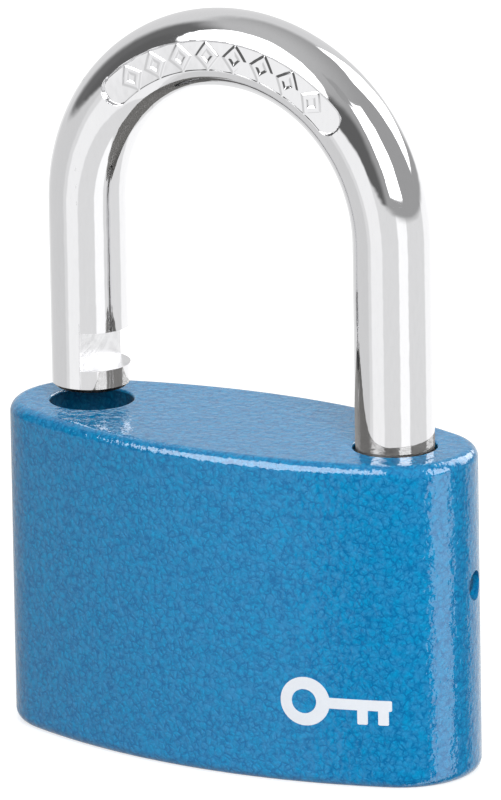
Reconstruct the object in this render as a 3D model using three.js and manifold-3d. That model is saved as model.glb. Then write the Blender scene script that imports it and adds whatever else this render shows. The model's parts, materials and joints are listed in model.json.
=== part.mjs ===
// A 52 mm key padlock with an 8 mm round shackle, drawn open, in millimetres.
// X runs across the width (toe leg at -X, heel leg at +X), Y from front to back, Z up.
// The origin is the middle of the body's bottom face.
// Stored state: shackle raised, key turned, so the plug is turned and the latch bolt is drawn back.

import * as THREE from "three";
import { mergeVertices } from "three/addons/utils/BufferGeometryUtils.js";
import Module from "manifold-3d";

const wasm = await Module();
wasm.setup();

// ---- driving dimensions ----

const BODY_WIDTH = 52;
const BODY_DEPTH = 22.4;
const BODY_HEIGHT = 33.2;
const BODY_END_RADIUS = 7.9;
const BODY_EDGE_ROUND = 1.2;

const BAR_RADIUS = 3.95;
const LEG_X = 17.75;
const CROWN_RADIUS = LEG_X;
const CROWN_TOP_ABOVE_BODY = 38.35; // middle of the bar at the top of the bend, shackle open
const TOE_ABOVE_BODY = 1.55; // tip of the free leg above the body, shackle open
const SHACKLE_TRAVEL = 10.5;
const HEEL_BOTTOM = 15.5;
const TOE_CHAMFER = 0.4;
const HEEL_CHAMFER = 0.5;
const NOTCH_LIP = 2.3;
const NOTCH_HEIGHT = 3.9;
const NOTCH_FLAT = 1.1; // from the leg's axis to the notch's flat
const NECK_RADIUS = 3.05;
const NECK_BOTTOM = 17.85;
const NECK_TOP = 32.05;
const SPRING_BORE_RADIUS = 2.2;
const SPRING_BORE_TOP = 25.5;
const PANEL_HALF_WIDTH = 1.6;
const PANEL_FLOOR = 3.45; // from the bar's middle plane
const PANEL_SHIFT = 0.45; // the panel's arc stands this far towards the heel leg
const PANEL_START = THREE.MathUtils.degToRad(-43.8);
const PANEL_END = THREE.MathUtils.degToRad(43.4);

const LEG_BORE_RADIUS = 4.2;
const BORE_MOUTH_ROUND = 0.25;
const TOE_BORE_FLOOR = 23.6;
const HEEL_BORE_FLOOR = 4.4;
const SPRING_POCKET_FLOOR = 1.8;

const KEEPER_PIN_Y = 1.7;
const KEEPER_PIN_Z = BODY_HEIGHT - 13.7;
const KEEPER_PIN_RADIUS = 1.4;
const KEEPER_PIN_RECESS = 1.1;

const CYLINDER_FACE = 0.3;
const CYLINDER_TOP = 22.2;
const CYLINDER_RADIUS = 7.6;
const CYLINDER_BORE_RADIUS = 7.8;
const CYLINDER_BORE_TOP = 30.4;
const HOUSING_END = 13.2; // the pin housing's far side, from the plug's axis
const HOUSING_HALF_WIDTH = 3.1;
const HOUSING_GAP = 0.25;

const PLUG_RADIUS = 5.4;
const PLUG_BORE_RADIUS = 5.5;
const PLUG_FACE = 0.5;
const PLUG_HEAD_RADIUS = 6.3;
const PLUG_HEAD_TOP = 1.7;
const PLUG_TOP = 24.2;
const PLUG_STORED_TURN = -Math.PI / 2;
const KEYWAY_TOP = 21.8;

const PIN_COUNT = 5;
const PIN_FIRST_Z = 4.9;
const PIN_PITCH = 3.6;
const PIN_RADIUS = 1.3;
const PIN_HOLE_RADIUS = 1.4;
const KEY_PIN_OUTER = 5.3;
const KEY_PIN_INNER = 1.5;
const CUT_DEPTHS = [0, 0.6, 0.3, 0.9, 0.3]; // how much shorter each key pin is than the longest
const DRIVER_INNER = 5.6;
const DRIVER_OUTER = 8.8;
const COVER_INNER = 12.5;
const COVER_OUTER = 13.05;

const CLIP_BOTTOM = 22.55;
const CLIP_TOP = 23.1;
const CAM_RADIUS = 6.4;
const CAM_BOTTOM = 24.5;
const CAM_TOP = 26.7;
const CAM_POST_RADIUS = 0.9;
const CAM_POST_TOP = 29.8;

const LATCH_TRAVEL = 3;
const LATCH_BOTTOM = 27.1;
const LATCH_TOP = 30.1;
const LATCH_TIP_X = -13.3;
const LATCH_TAIL_X = 3.9;
const LATCH_SPRING_Z = 28.6;
const LATCH_SPRING_END = 11.45;
const LATCH_SPRING_POCKET_RADIUS = 2.3;

const CROSS_PIN_X = 7.9;
const CROSS_PIN_Z = 11;
const CROSS_PIN_RADIUS = 1.1;
const CROSS_PIN_FRONT = -7.8;
const CROSS_PIN_BACK = 9.9;

// ---- finishes ----

const finish = (color, roughness, metalness) =>
  new THREE.MeshStandardMaterial({ color, roughness, metalness });

const bluePaint = finish(0x2a86bd, 0.28, 0.3);
const chrome = finish(0xe3e4e6, 0.06, 1);
const brass = finish(0xb08d45, 0.3, 1);
const steel = finish(0x9a9da1, 0.35, 1);
const springSteel = finish(0x7d8085, 0.4, 1);

// ---- solids ----

// a closed three.js geometry as a solid that can be joined and cut
function toSolid(geometry) {
  const bare = geometry.clone();
  bare.deleteAttribute("normal");
  bare.deleteAttribute("uv");
  const merged = mergeVertices(bare, 1e-5);
  const index = merged.index.array;
  const corners = [];
  for (let i = 0; i < index.length; i += 3) {
    const [a, b, c] = [index[i], index[i + 1], index[i + 2]];
    if (a !== b && b !== c && c !== a) corners.push(a, b, c);
  }
  const mesh = new wasm.Mesh({
    numProp: 3,
    vertProperties: new Float32Array(merged.attributes.position.array),
    triVerts: new Uint32Array(corners),
  });
  return new wasm.Manifold(mesh);
}

function toGeometry(solid) {
  const mesh = solid.getMesh();
  const geometry = new THREE.BufferGeometry();
  geometry.setAttribute("position", new THREE.BufferAttribute(mesh.vertProperties, 3));
  geometry.setIndex(new THREE.BufferAttribute(mesh.triVerts, 1));
  const flat = geometry.toNonIndexed();
  flat.computeVertexNormals();
  return flat;
}

function joined(first, ...others) {
  return others.reduce((solid, other) => solid.add(toSolid(other)), toSolid(first));
}

function cut(solid, ...cutters) {
  return cutters.reduce((left, cutter) => left.subtract(toSolid(cutter)), solid);
}

// ---- shapes ----

const upright = (geometry) => geometry.rotateX(Math.PI / 2); // Y of the geometry becomes Z
const outward = (geometry) => geometry.rotateZ(Math.PI / 2); // Y of the geometry becomes -X

function arc(x, y, radius, start, end, steps) {
  const points = [];
  for (let i = 0; i < steps; i++) {
    const angle = start + ((end - start) * i) / steps;
    points.push(new THREE.Vector2(x + radius * Math.cos(angle), y + radius * Math.sin(angle)));
  }
  return points;
}

const circle = (radius, sides) => new THREE.Shape(arc(0, 0, radius, 0, 2 * Math.PI, sides));

function rod(radius, bottom, top, sides = 24) {
  const geometry = new THREE.CylinderGeometry(radius, radius, top - bottom, sides);
  return upright(geometry).translate(0, 0, (bottom + top) / 2);
}

// a rod along X, and one along Y
const rodAlongX = (radius, from, to, sides) => rod(radius, from, to, sides).rotateY(Math.PI / 2);
const rodAlongY = (radius, from, to, sides) => rod(radius, -to, -from, sides).rotateX(Math.PI / 2);

// a turned piece from its [radius, height] profile, listed upwards along its outside
function turned(profile, sides = 24) {
  const points = profile.map(([radius, height]) => new THREE.Vector2(radius, height));
  const closedOnAxis = profile[0][0] === 0;
  if (!closedOnAxis) points.push(points[0].clone());
  return new THREE.LatheGeometry(points, sides);
}

function block(x0, x1, y0, y1, z0, z1) {
  const geometry = new THREE.BoxGeometry(x1 - x0, y1 - y0, z1 - z0);
  return geometry.translate((x0 + x1) / 2, (y0 + y1) / 2, (z0 + z1) / 2);
}

// an upright block with round vertical edges
function roundedBlock(x0, x1, y0, y1, z0, z1, radius) {
  const quarter = Math.PI / 2;
  const outline = [
    ...arc(x1 - radius, y1 - radius, radius, 0, quarter, 4),
    ...arc(x0 + radius, y1 - radius, radius, quarter, 2 * quarter, 4),
    ...arc(x0 + radius, y0 + radius, radius, 2 * quarter, 3 * quarter, 4),
    ...arc(x1 - radius, y0 + radius, radius, 3 * quarter, 4 * quarter, 4),
  ];
  const options = { depth: z1 - z0, bevelEnabled: false };
  return new THREE.ExtrudeGeometry(new THREE.Shape(outline), options).translate(0, 0, z0);
}

class CoilPath extends THREE.Curve {
  constructor(radius, length, turns) {
    super();
    Object.assign(this, { radius, length, turns });
  }

  getPoint(t, target = new THREE.Vector3()) {
    const angle = 2 * Math.PI * this.turns * t;
    return target.set(this.radius * Math.cos(angle), this.radius * Math.sin(angle), this.length * t);
  }
}

// a round-wire coil spring standing on height 0
function coilSpring(coilRadius, wireRadius, length, turns, sides = 5) {
  const path = new CoilPath(coilRadius, length - 2 * wireRadius, turns);
  const options = { steps: turns * 9, extrudePath: path, bevelEnabled: false };
  const wire = new THREE.ExtrudeGeometry(circle(wireRadius, sides), options);
  return wire.translate(0, 0, wireRadius);
}

// ---- the assembly ----

const padlock = new THREE.Group();

function addPiece(name, geometry, material, parent = padlock) {
  const mesh = new THREE.Mesh(geometry, material);
  mesh.name = name;
  parent.add(mesh);
  return mesh;
}

// ---- body ----

// front and back are long arcs that run tangent into two round ends
function bodyOutline() {
  const quarter = Math.PI / 2;
  const endX = BODY_WIDTH / 2 - BODY_END_RADIUS;
  const rise = BODY_DEPTH / 2 - BODY_END_RADIUS;
  const arcCentre = (endX * endX - rise * rise) / (2 * rise);
  const arcRadius = BODY_DEPTH / 2 + arcCentre;
  const half = Math.atan2(endX, arcCentre);
  return new THREE.Shape([
    ...arc(0, -arcCentre, arcRadius, quarter - half, quarter + half, 14),
    ...arc(-endX, 0, BODY_END_RADIUS, quarter + half, 3 * quarter - half, 14),
    ...arc(0, arcCentre, arcRadius, 3 * quarter - half, 3 * quarter + half, 14),
    ...arc(endX, 0, BODY_END_RADIUS, -quarter + half, quarter - half, 14),
  ]);
}

// a bore from the top face, with a softly rounded mouth
function boreFromTop(radius, floor) {
  const round = BORE_MOUTH_ROUND;
  const mouth = arc(radius + round, BODY_HEIGHT - round, round, Math.PI, Math.PI / 2, 3);
  const profile = [
    [0, floor],
    [radius, floor],
    ...mouth.map((point) => [point.x, point.y]),
    [radius + round, BODY_HEIGHT],
    [radius + round, BODY_HEIGHT + 1],
    [0, BODY_HEIGHT + 1],
  ];
  return upright(turned(profile, 32));
}

function lockBody() {
  const block3d = new THREE.ExtrudeGeometry(bodyOutline(), {
    depth: BODY_HEIGHT - 2 * BODY_EDGE_ROUND,
    bevelThickness: BODY_EDGE_ROUND,
    bevelSize: BODY_EDGE_ROUND,
    bevelOffset: -BODY_EDGE_ROUND,
    bevelSegments: 3,
  }).translate(0, 0, BODY_EDGE_ROUND);
  const housingSide = HOUSING_HALF_WIDTH + HOUSING_GAP;
  return cut(
    toSolid(block3d),
    boreFromTop(LEG_BORE_RADIUS, TOE_BORE_FLOOR).translate(-LEG_X, 0, 0),
    boreFromTop(LEG_BORE_RADIUS, HEEL_BORE_FLOOR).translate(LEG_X, 0, 0),
    rod(SPRING_BORE_RADIUS, SPRING_POCKET_FLOOR, HEEL_BORE_FLOOR + 1).translate(LEG_X, 0, 0),
    rod(CYLINDER_BORE_RADIUS, -1, CYLINDER_BORE_TOP, 32),
    roundedBlock(
      -HOUSING_END - HOUSING_GAP, 0, -housingSide, housingSide, -1, CYLINDER_TOP + HOUSING_GAP, 1
    ),
    block(-LEG_X, -6, -2.75, 2.75, LATCH_BOTTOM - 0.2, CYLINDER_BORE_TOP),
    rodAlongX(LATCH_SPRING_POCKET_RADIUS, 6, LATCH_SPRING_END, 20).translate(0, 0, LATCH_SPRING_Z),
    rodAlongX(KEEPER_PIN_RADIUS + 0.1, LEG_X, BODY_WIDTH, 20).translate(0, KEEPER_PIN_Y, KEEPER_PIN_Z),
    rodAlongY(CROSS_PIN_RADIUS + 0.1, CROSS_PIN_FRONT - 0.3, BODY_DEPTH, 16)
      .translate(CROSS_PIN_X, 0, CROSS_PIN_Z)
  );
}

addPiece("lock_body", toGeometry(lockBody()), bluePaint);

// ---- shackle ----

const crownZ = BODY_HEIGHT + CROWN_TOP_ABOVE_BODY - CROWN_RADIUS;
const toeZ = BODY_HEIGHT + TOE_ABOVE_BODY;

class ShacklePath extends THREE.Curve {
  getPoint(t, target = new THREE.Vector3()) {
    const toeLeg = crownZ - toeZ;
    const bend = Math.PI * CROWN_RADIUS;
    const heelLeg = crownZ - HEEL_BOTTOM;
    const along = t * (toeLeg + bend + heelLeg);
    if (along < toeLeg) return target.set(-LEG_X, 0, toeZ + along);
    const angle = (along - toeLeg) / CROWN_RADIUS;
    if (angle > Math.PI) return target.set(LEG_X, 0, crownZ - (along - toeLeg - bend));
    return target.set(-LEG_X * Math.cos(angle), 0, crownZ + CROWN_RADIUS * Math.sin(angle));
  }
}

// cuts a 45 degree chamfer round the lower end of an upright bar
function endChamfer(radius, chamfer, z) {
  const inner = radius - chamfer;
  const outer = radius + 1;
  return upright(turned([[inner, z - 1], [outer, z - 1], [outer, z + chamfer + 1], [inner, z]], 24));
}

// the shallow panel with round ends that follows the bend on the bar's front
function crownPanel() {
  const angles = [Math.PI / 2 - PANEL_END, Math.PI / 2 - PANEL_START];
  const [right, left] = angles;
  const endAt = (angle) => [CROWN_RADIUS * Math.cos(angle), CROWN_RADIUS * Math.sin(angle)];
  const outline = [
    ...arc(0, 0, CROWN_RADIUS + PANEL_HALF_WIDTH, right, left, 20),
    ...arc(...endAt(left), PANEL_HALF_WIDTH, left, left + Math.PI, 8),
    ...arc(0, 0, CROWN_RADIUS - PANEL_HALF_WIDTH, left, right, 20),
    ...arc(...endAt(right), PANEL_HALF_WIDTH, right + Math.PI, right + 2 * Math.PI, 8),
  ];
  const options = { depth: BAR_RADIUS + 1 - PANEL_FLOOR, bevelEnabled: false };
  const cutter = new THREE.ExtrudeGeometry(new THREE.Shape(outline), options);
  return upright(cutter.translate(0, 0, PANEL_FLOOR)).translate(PANEL_SHIFT, 0, crownZ);
}

function shackle() {
  const options = { steps: 64, extrudePath: new ShacklePath(), bevelEnabled: false };
  const bar = new THREE.ExtrudeGeometry(circle(BAR_RADIUS, 24), options);
  const neck = upright(turned([
    [NECK_RADIUS, NECK_BOTTOM],
    [BAR_RADIUS + 1, NECK_BOTTOM],
    [BAR_RADIUS + 1, NECK_TOP],
    [NECK_RADIUS, NECK_TOP],
  ]));
  const notch = block(
    -LEG_X + NOTCH_FLAT, -LEG_X + BAR_RADIUS + 1, -BAR_RADIUS - 1, BAR_RADIUS + 1,
    toeZ + NOTCH_LIP, toeZ + NOTCH_LIP + NOTCH_HEIGHT
  );
  return cut(
    toSolid(bar),
    neck.translate(LEG_X, 0, 0),
    rod(SPRING_BORE_RADIUS, HEEL_BOTTOM - 1, SPRING_BORE_TOP, 20).translate(LEG_X, 0, 0),
    endChamfer(BAR_RADIUS, HEEL_CHAMFER, HEEL_BOTTOM).translate(LEG_X, 0, 0),
    endChamfer(BAR_RADIUS, TOE_CHAMFER, toeZ).translate(-LEG_X, 0, 0),
    notch,
    crownPanel()
  );
}

addPiece("shackle", toGeometry(shackle()), chrome);

// ---- what lifts and keeps the shackle ----

const buttonTop = SPRING_BORE_TOP - 0.3;
const springButton = turned([
  [0, buttonTop - 2.7],
  [1, buttonTop - 2.7],
  [1, buttonTop - 1.2],
  [1.95, buttonTop - 1.2],
  [1.95, buttonTop - 0.2],
  [1.75, buttonTop],
  [0, buttonTop],
], 16);
addPiece("spring_button", upright(springButton), steel).position.x = LEG_X;

const liftSpringBottom = SPRING_POCKET_FLOOR + 0.15;
const liftSpringLength = buttonTop - 1.35 - liftSpringBottom;
addPiece("shackle_spring", coilSpring(1.6, 0.22, liftSpringLength, 15), springSteel)
  .position.set(LEG_X, 0, liftSpringBottom);

const keeperInner = LEG_X + NECK_RADIUS + 0.3;
const keeperOuter = BODY_WIDTH / 2 - KEEPER_PIN_RECESS;
const keeperPin = turned([
  [0, -keeperOuter],
  [KEEPER_PIN_RADIUS - 0.3, -keeperOuter],
  [KEEPER_PIN_RADIUS, -keeperOuter + 0.3],
  [KEEPER_PIN_RADIUS, -keeperInner],
  [0, -keeperInner],
], 20);
addPiece("shackle_keeper_pin", outward(keeperPin), steel).position.set(0, KEEPER_PIN_Y, KEEPER_PIN_Z);

// ---- cylinder: shell, pins and cover stay still ----

const pinHeights = Array.from({ length: PIN_COUNT }, (_, i) => PIN_FIRST_Z + PIN_PITCH * i);
const pinHole = (inner, outer, z) => rodAlongX(PIN_HOLE_RADIUS, -outer, -inner, 16).translate(0, 0, z);

function cylinderShell() {
  const housing = roundedBlock(
    -HOUSING_END, 0, -HOUSING_HALF_WIDTH, HOUSING_HALF_WIDTH, CYLINDER_FACE, CYLINDER_TOP, 0.8
  );
  return cut(
    joined(rod(CYLINDER_RADIUS, CYLINDER_FACE, CYLINDER_TOP, 32), housing),
    rod(PLUG_BORE_RADIUS, -1, CYLINDER_TOP + 1, 32),
    rod(PLUG_HEAD_RADIUS + 0.15, -1, PLUG_HEAD_TOP + 0.15, 32),
    block(-HOUSING_END - 1, -COVER_INNER + 0.2, -2, 2, 2.4, 21.7),
    rodAlongY(CROSS_PIN_RADIUS + 0.2, -BODY_DEPTH, BODY_DEPTH, 16)
      .translate(CROSS_PIN_X, 0, CROSS_PIN_Z),
    ...pinHeights.map((z) => pinHole(PLUG_BORE_RADIUS - 1, HOUSING_END, z))
  );
}

addPiece("cylinder_shell", toGeometry(cylinderShell()), brass);

const driverPin = [
  [0, DRIVER_INNER],
  [0.8, DRIVER_INNER],
  [PIN_RADIUS, DRIVER_INNER + 0.4],
  [PIN_RADIUS, DRIVER_OUTER],
  [0, DRIVER_OUTER],
];
const pinSpringInner = DRIVER_OUTER + 0.2;
const pinSpringLength = COVER_INNER - 0.2 - pinSpringInner;

pinHeights.forEach((z, i) => {
  addPiece(`driver_pin_${i + 1}`, outward(turned(driverPin, 12)), brass).position.z = z;
  const coil = coilSpring(0.95, 0.17, pinSpringLength, 4);
  addPiece(`pin_spring_${i + 1}`, coil.rotateY(-Math.PI / 2), springSteel)
    .position.set(-pinSpringInner, 0, z);
});

addPiece("chamber_cover", block(-COVER_OUTER, -COVER_INNER, -1.8, 1.8, 2.6, 21.5), brass);

const crossPin = rodAlongY(CROSS_PIN_RADIUS, CROSS_PIN_FRONT, CROSS_PIN_BACK, 16);
addPiece("cylinder_cross_pin", crossPin, steel).position.set(CROSS_PIN_X, 0, CROSS_PIN_Z);

// ---- plug: what the key turns, drawn with its pins towards -X and then turned ----

const plugGroup = new THREE.Group();
plugGroup.rotation.z = PLUG_STORED_TURN;
padlock.add(plugGroup);

// a slot with one ward rib from each side
function keyway() {
  const outline = [
    [-2.9, -0.9], [0, -0.9], [0, -0.3], [1.2, -0.3], [1.2, -0.9], [4.4, -0.9],
    [4.4, 0.9], [2.9, 0.9], [2.9, 0.35], [1.9, 0.35], [1.9, 0.9], [-2.9, 0.9],
  ];
  const shape = new THREE.Shape(outline.map(([x, y]) => new THREE.Vector2(x, y)));
  return new THREE.ExtrudeGeometry(shape, { depth: KEYWAY_TOP, bevelEnabled: false });
}

function plug() {
  const turnedPlug = upright(turned([
    [0, PLUG_FACE],
    [PLUG_HEAD_RADIUS - 0.2, PLUG_FACE],
    [PLUG_HEAD_RADIUS, PLUG_FACE + 0.2],
    [PLUG_HEAD_RADIUS, PLUG_HEAD_TOP],
    [PLUG_RADIUS, PLUG_HEAD_TOP],
    [PLUG_RADIUS, CLIP_BOTTOM - 0.1],
    [PLUG_RADIUS - 0.8, CLIP_BOTTOM - 0.1],
    [PLUG_RADIUS - 0.8, CLIP_TOP + 0.1],
    [PLUG_RADIUS, CLIP_TOP + 0.1],
    [PLUG_RADIUS, PLUG_TOP],
    [0, PLUG_TOP],
  ], 32));
  const tongue = block(-3.5, 3.5, -1, 1, PLUG_TOP - 0.5, PLUG_TOP + 1.1);
  return cut(
    joined(turnedPlug, tongue),
    keyway(),
    ...pinHeights.map((z) => pinHole(0.4, PLUG_HEAD_RADIUS, z))
  );
}

addPiece("plug", toGeometry(plug()), brass, plugGroup);

CUT_DEPTHS.forEach((depth, i) => {
  const inner = KEY_PIN_INNER + depth;
  const keyPin = turned([
    [0, inner],
    [0.5, inner],
    [PIN_RADIUS, inner + 0.8],
    [PIN_RADIUS, KEY_PIN_OUTER - 0.4],
    [0.8, KEY_PIN_OUTER],
    [0, KEY_PIN_OUTER],
  ], 12);
  addPiece(`key_pin_${i + 1}`, outward(keyPin), brass, plugGroup).position.z = pinHeights[i];
});

function plugClip() {
  const inner = PLUG_RADIUS - 0.6;
  const outer = PLUG_RADIUS + 1.2;
  const opening = THREE.MathUtils.degToRad(30);
  const full = 2 * Math.PI;
  const outline = [
    ...arc(0, 0, outer, opening, full - opening, 24),
    new THREE.Vector2(outer * Math.cos(opening), -outer * Math.sin(opening)),
    ...arc(0, 0, inner, full - opening, opening, 24),
    new THREE.Vector2(inner * Math.cos(opening), inner * Math.sin(opening)),
  ];
  const options = { depth: CLIP_TOP - CLIP_BOTTOM, bevelEnabled: false };
  return new THREE.ExtrudeGeometry(new THREE.Shape(outline), options).translate(0, 0, CLIP_BOTTOM);
}

addPiece("plug_clip", plugClip(), springSteel, plugGroup);

// the post stands off centre, so that a quarter turn slides the latch by LATCH_TRAVEL
const postOffset = LATCH_TRAVEL / 2;

function cam() {
  const post = rod(CAM_POST_RADIUS, CAM_TOP - 0.5, CAM_POST_TOP, 16);
  return cut(
    joined(rod(CAM_RADIUS, CAM_BOTTOM, CAM_TOP, 32), post.translate(-postOffset, postOffset, 0)),
    block(-CAM_RADIUS - 1, CAM_RADIUS + 1, -1.2, 1.2, CAM_BOTTOM - 1, CAM_BOTTOM + 1.05)
  );
}

addPiece("cam", toGeometry(cam()), steel, plugGroup);

// ---- latch ----

// a bevelled head that reaches into the toe bore, and a tail plate slotted for the cam's post
function latchBolt() {
  const bevel = 1.2;
  const side = [
    [LATCH_TIP_X, LATCH_BOTTOM],
    [-3, LATCH_BOTTOM],
    [-3, LATCH_TOP],
    [LATCH_TIP_X + bevel, LATCH_TOP],
    [LATCH_TIP_X, LATCH_TOP - bevel],
  ];
  const shape = new THREE.Shape(side.map(([x, z]) => new THREE.Vector2(x, z)));
  const head = upright(new THREE.ExtrudeGeometry(shape, { depth: 5, bevelEnabled: false }));
  const tail = block(-3.4, LATCH_TAIL_X, -4.2, 4.2, LATCH_BOTTOM, LATCH_TOP);
  const slotHalf = CAM_POST_RADIUS + 0.2;
  const slotFar = postOffset * Math.SQRT2 + CAM_POST_RADIUS + 0.3;
  return cut(
    joined(tail, head.translate(0, 2.5, 0)),
    block(
      postOffset - slotHalf, postOffset + slotHalf, postOffset - slotHalf, slotFar,
      LATCH_BOTTOM - 1, LATCH_TOP + 1
    )
  );
}

addPiece("latch_bolt", toGeometry(latchBolt()), steel);

const latchSpringFrom = LATCH_TAIL_X + 0.15;
const latchSpring = coilSpring(1.6, 0.2, LATCH_SPRING_END - 0.15 - latchSpringFrom, 6);
addPiece("latch_spring", latchSpring.rotateY(Math.PI / 2), springSteel)
  .position.set(latchSpringFrom, 0, LATCH_SPRING_Z);

export default padlock;
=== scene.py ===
import json
import math

import bmesh
import bpy
from mathutils import Matrix, Vector


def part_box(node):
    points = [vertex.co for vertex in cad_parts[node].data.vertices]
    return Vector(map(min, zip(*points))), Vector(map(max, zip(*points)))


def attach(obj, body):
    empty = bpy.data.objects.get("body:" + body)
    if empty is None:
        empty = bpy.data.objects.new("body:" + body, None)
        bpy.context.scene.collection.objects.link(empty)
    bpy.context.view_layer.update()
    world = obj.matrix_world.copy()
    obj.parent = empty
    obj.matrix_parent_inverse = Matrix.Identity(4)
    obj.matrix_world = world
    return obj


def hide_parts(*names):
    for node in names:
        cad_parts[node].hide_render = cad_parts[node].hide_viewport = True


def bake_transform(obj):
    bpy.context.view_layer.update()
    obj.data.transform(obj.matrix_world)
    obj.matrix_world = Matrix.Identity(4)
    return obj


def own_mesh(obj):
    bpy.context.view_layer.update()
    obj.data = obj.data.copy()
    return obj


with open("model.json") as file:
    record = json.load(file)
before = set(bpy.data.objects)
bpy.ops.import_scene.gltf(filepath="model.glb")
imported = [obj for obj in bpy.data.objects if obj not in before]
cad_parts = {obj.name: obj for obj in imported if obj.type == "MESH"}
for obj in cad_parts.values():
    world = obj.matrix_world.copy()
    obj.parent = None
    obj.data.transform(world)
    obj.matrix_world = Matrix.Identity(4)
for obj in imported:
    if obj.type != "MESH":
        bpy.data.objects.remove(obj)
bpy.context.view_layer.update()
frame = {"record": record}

# A 52 mm key padlock, standing open, with a blue hammered-paint body and a chromed 8 mm shackle.
# Shapes are drawn in millimetres, in the frame of the CAD model, and become metres in add_object.
# X runs along the width, -Y is the front, Z is up, and the base stands on Z 0.

MM = 0.001
RECORD = frame["record"]
BODY_OF = {n: body for body, nodes in RECORD["behaviour"]["bodies"].items() for n in nodes}


def box_mm(node):
    """A CAD node's lowest and highest corner, in millimetres."""
    low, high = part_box(node)
    return low / MM, high / MM


# ---- sizes that come from the frame ----

BODY_LOW, BODY_HIGH = box_mm("lock_body")
SHACKLE_LOW, SHACKLE_HIGH = box_mm("shackle")
SHELL_LOW, SHELL_HIGH = box_mm("cylinder_shell")
PLUG_LOW, PLUG_HIGH = box_mm("plug")
CLIP_LOW, CLIP_HIGH = box_mm("plug_clip")
CAM_LOW, CAM_HIGH = box_mm("cam")
LATCH_LOW, LATCH_HIGH = box_mm("latch_bolt")
COVER_LOW, COVER_HIGH = box_mm("chamber_cover")
BUTTON_LOW, BUTTON_HIGH = box_mm("spring_button")
KEEPER_LOW, KEEPER_HIGH = box_mm("shackle_keeper_pin")
CROSS_LOW, CROSS_HIGH = box_mm("cylinder_cross_pin")
PIN_NUMBERS = range(1, 6)
PIN_HEIGHTS = [sum(corner.z for corner in box_mm(f"driver_pin_{i}")) / 2 for i in PIN_NUMBERS]

BODY_WIDTH = BODY_HIGH.x - BODY_LOW.x
BODY_DEPTH = BODY_HIGH.y - BODY_LOW.y
BODY_HEIGHT = BODY_HIGH.z
BAR_RADIUS = (SHACKLE_HIGH.y - SHACKLE_LOW.y) / 2
LEG_X = SHACKLE_HIGH.x - BAR_RADIUS
CROWN_Z = SHACKLE_HIGH.z - BAR_RADIUS - LEG_X
HEEL_BOTTOM = SHACKLE_LOW.z
KEEPER_RADIUS = (KEEPER_HIGH.y - KEEPER_LOW.y) / 2
KEEPER_Y = (KEEPER_HIGH.y + KEEPER_LOW.y) / 2
CROSS_RADIUS = (CROSS_HIGH.x - CROSS_LOW.x) / 2

# ---- sizes that repeat the CAD model's ----

BODY_END_RADIUS = 7.9
BODY_EDGE_ROUND = 1.2
LEG_BORE_RADIUS = 4.2
BORE_MOUTH_ROUND = 0.25
TOE_BORE_FLOOR = 23.6
LATCH_SPRING_Z = 28.6
LATCH_SPRING_HOLE_RADIUS = 2.3
LATCH_SPRING_HOLE_END = 11.45
HEEL_BORE_FLOOR = 4.4
SPRING_POCKET_FLOOR = 1.8
SPRING_BORE_RADIUS = 2.2
SPRING_BORE_TOP = 25.5
CYLINDER_BORE_RADIUS = 7.8
CYLINDER_BORE_TOP = 30.4
HOUSING_HALF_WIDTH = 3.1
HOUSING_GAP = 0.25
KEEPER_PIN_Z = 19.5
CROSS_PIN_X = 7.9
CROSS_PIN_Z = 11

TOE_TIP_Z = BODY_HEIGHT + 1.55
TOE_CHAMFER = 0.4
HEEL_CHAMFER = 0.5
NECK_RADIUS = 3.05
NECK_BOTTOM = 17.85
NECK_TOP = 32.05
NOTCH_FLOOR_X = -LEG_X + 1.1
NOTCH_BOTTOM = TOE_TIP_Z + 2.3
NOTCH_TOP = NOTCH_BOTTOM + 3.9

PANEL_START = math.radians(-43.8)  # from straight up, clockwise seen from the front
PANEL_END = math.radians(43.4)
PANEL_SHIFT = 0.45  # the panel's arc sits this far to the heel side of the bend's own
PANEL_HALF_WIDTH = 1.6
PANEL_FLOOR = 3.45
PANEL_WALL = 0.22
PANEL_BLEND = 0.1
PANEL_STEP = 0.085  # between the mesh's points on the panel
LOZENGES = 8  # raised outlines in a row along the panel
LOZENGE_MARGIN = math.radians(7.5)
LOZENGE_HALF_LENGTH = 1.3
LOZENGE_HALF_HEIGHT = 1.4
LOZENGE_LINE = 0.55
LOZENGE_WALL = 0.3
LOZENGE_HEIGHT = 0.11

SHELL_RADIUS = 7.6
PLUG_BORE_RADIUS = 5.5
COUNTERBORE_RADIUS = 6.45
COUNTERBORE_TOP = 1.85
PIN_HOLE_RADIUS = 1.4
HOUSING_END = 14  # past the housing's far side, from the plug's axis
PIN_RADIUS = 1.3
PLUG_RADIUS = 5.4
PLUG_HEAD_RADIUS = 6.3
PLUG_HEAD_TOP = 1.7
PLUG_BARREL_TOP = 24.2
KEYWAY_TOP = 21.8
KEYWAY_OUTLINE = [
    (-2.9, -0.9), (0, -0.9), (0, -0.3), (1.2, -0.3), (1.2, -0.9), (4.4, -0.9),
    (4.4, 0.9), (2.9, 0.9), (2.9, 0.35), (1.9, 0.35), (1.9, 0.9), (-2.9, 0.9),
]
STORED = Matrix.Rotation(math.radians(-90), 4, "Z")  # the plug is drawn with its pins towards -X
KEY_PIN_OUTER = 5.3
KEY_PIN_INNER = 1.5
CUT_DEPTHS = [0, 0.6, 0.3, 0.9, 0.3]
DRIVER_INNER = 5.6
DRIVER_OUTER = 8.8
CLIP_OPENING = math.radians(30)
CAM_POST_RADIUS = 0.9
CAM_TOP = 26.7
POST_OFFSET = 1.5


# ---- drawing tools: a shape is (points, faces) ----

def arc(cx, cy, radius, start, end, steps):
    """Points on an arc, without its last one."""
    angles = [start + (end - start) * i / steps for i in range(steps)]
    return [(cx + radius * math.cos(a), cy + radius * math.sin(a)) for a in angles]


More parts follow.
